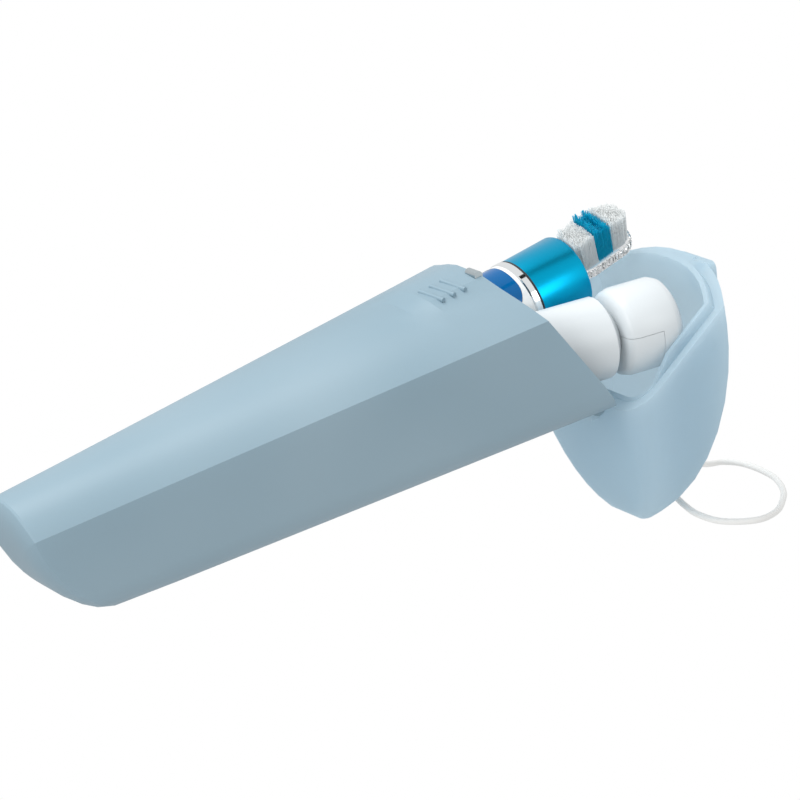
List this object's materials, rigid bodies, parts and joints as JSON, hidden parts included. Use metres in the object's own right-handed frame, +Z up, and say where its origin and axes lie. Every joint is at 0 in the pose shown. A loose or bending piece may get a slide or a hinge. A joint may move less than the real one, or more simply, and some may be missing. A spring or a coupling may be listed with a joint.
{
  "type": "toothbrush travel case",
  "caption": "Tapered travel case with a hinged lid and wrist loop, holding a powered toothbrush and a small tube of toothpaste.",
  "frame": {"origin": "centre of the flat under the far end of the case, where it rests on the table", "axes": "+X towards the mouth, the lid and the brush head, +Y across the case towards the toothbrush, +Z up from the table"},
  "size_m": [0.2435, 0.062, 0.0827],
  "materials": {
    "case_shell": "frosted translucent polypropylene, pale blue grey",
    "lid_shell": "frosted translucent polypropylene, pale blue",
    "pin_metal": "drawn steel pin, lightly polished",
    "loop_cord": "braided white polyester cord",
    "handle_white": "glossy white moulded plastic",
    "panel_blue": "glossy deep blue moulded inlay",
    "button_blue": "satin blue moulded button",
    "seal_rubber": "black silicone rubber",
    "switch_metal": "plain steel switch can",
    "board_green": "green circuit board",
    "chassis_grey": "grey moulded frame",
    "motor_metal": "plated steel can",
    "weight_metal": "sintered heavy metal",
    "battery_wrap": "printless shrink sleeve",
    "contact_metal": "nickel plated spring steel",
    "ring_bright": "bright plated ring",
    "sleeve_blue": "blue anodised turned aluminium",
    "nose_plastic": "white moulded nose",
    "post_steel": "ground stainless steel",
    "head_clear": "clear moulded plastic",
    "bristle_white": "white nylon filaments",
    "bristle_blue": "blue nylon filaments",
    "tube_laminate": "plain white plastic laminate",
    "tube_cap": "white moulded polypropylene"
  },
  "bodies": {
    "case": {"case_body": "case_shell", "hinge_pin": "pin_metal", "catch_stud": "pin_metal"},
    "lid": {"lid": "lid_shell", "wrist_loop": "loop_cord", "loop_knots": "loop_cord"},
    "toothbrush": {"handle_housing": "handle_white", "front_panel": "panel_blue", "button_seal": "seal_rubber", "tact_switch": "switch_metal", "control_board": "board_green", "chassis": "chassis_grey", "motor_can": "motor_metal", "battery": "battery_wrap", "front_contact": "contact_metal", "battery_spring": "contact_metal", "bright_ring": "ring_bright", "sleeve": "sleeve_blue", "nose_collar": "nose_plastic", "shaft_seal": "seal_rubber", "head_post": "post_steel", "brush_head": "head_clear", "bristles_white": "bristle_white", "bristles_blue": "bristle_blue"},
    "power_button": {"power_button": "button_blue"},
    "motor_weight": {"eccentric_weight": "weight_metal"},
    "end_cap": {"end_cap": "handle_white", "end_cap_oring": "seal_rubber"},
    "tube": {"tube_body": "tube_laminate", "tube_cap_base": "tube_cap", "tube_flip_lid": "tube_cap"}
  },
  "joints": [
    {"name": "lid_hinge", "type": "hinge", "parent": "case", "child": "lid", "pos_m": [0.14213, 0, 0.03474], "axis": [0, 1, 0], "range_deg": [-86, 0]},
    {"name": "brush_slide", "type": "slide", "parent": "case", "child": "toothbrush", "axis": [0.9449, 0.0696, 0.32], "range_m": [-0.04, 0]},
    {"name": "tube_slide", "type": "slide", "parent": "case", "child": "tube", "axis": [0.9842, -0.0659, 0.1645], "range_m": [-0.0112, 0]},
    {"name": "power_button_press", "type": "slide", "parent": "toothbrush", "child": "power_button", "axis": [0.2782, 0.3448, -0.8965], "range_m": [0, 0.0006], "stiffness_N_per_m": 400, "springref_m": -0.0004},
    {"name": "motor_spin", "type": "hinge", "parent": "toothbrush", "child": "motor_weight", "pos_m": [0.12273, 0.01201, 0.05572], "axis": [0.9449, 0.0696, 0.32], "continuous": true},
    {"name": "end_cap_twist", "type": "hinge", "parent": "toothbrush", "child": "end_cap", "pos_m": [0.03831, 0.00578, 0.02713], "axis": [0.9449, 0.0696, 0.32], "range_deg": [0, 90]}
  ],
  "couplings": [
    {"joint": "brush_slide", "follows": "lid_hinge", "m_per_rad": 0.026649},
    {"joint": "tube_slide", "follows": "lid_hinge", "m_per_rad": 0.007462}
  ]
}
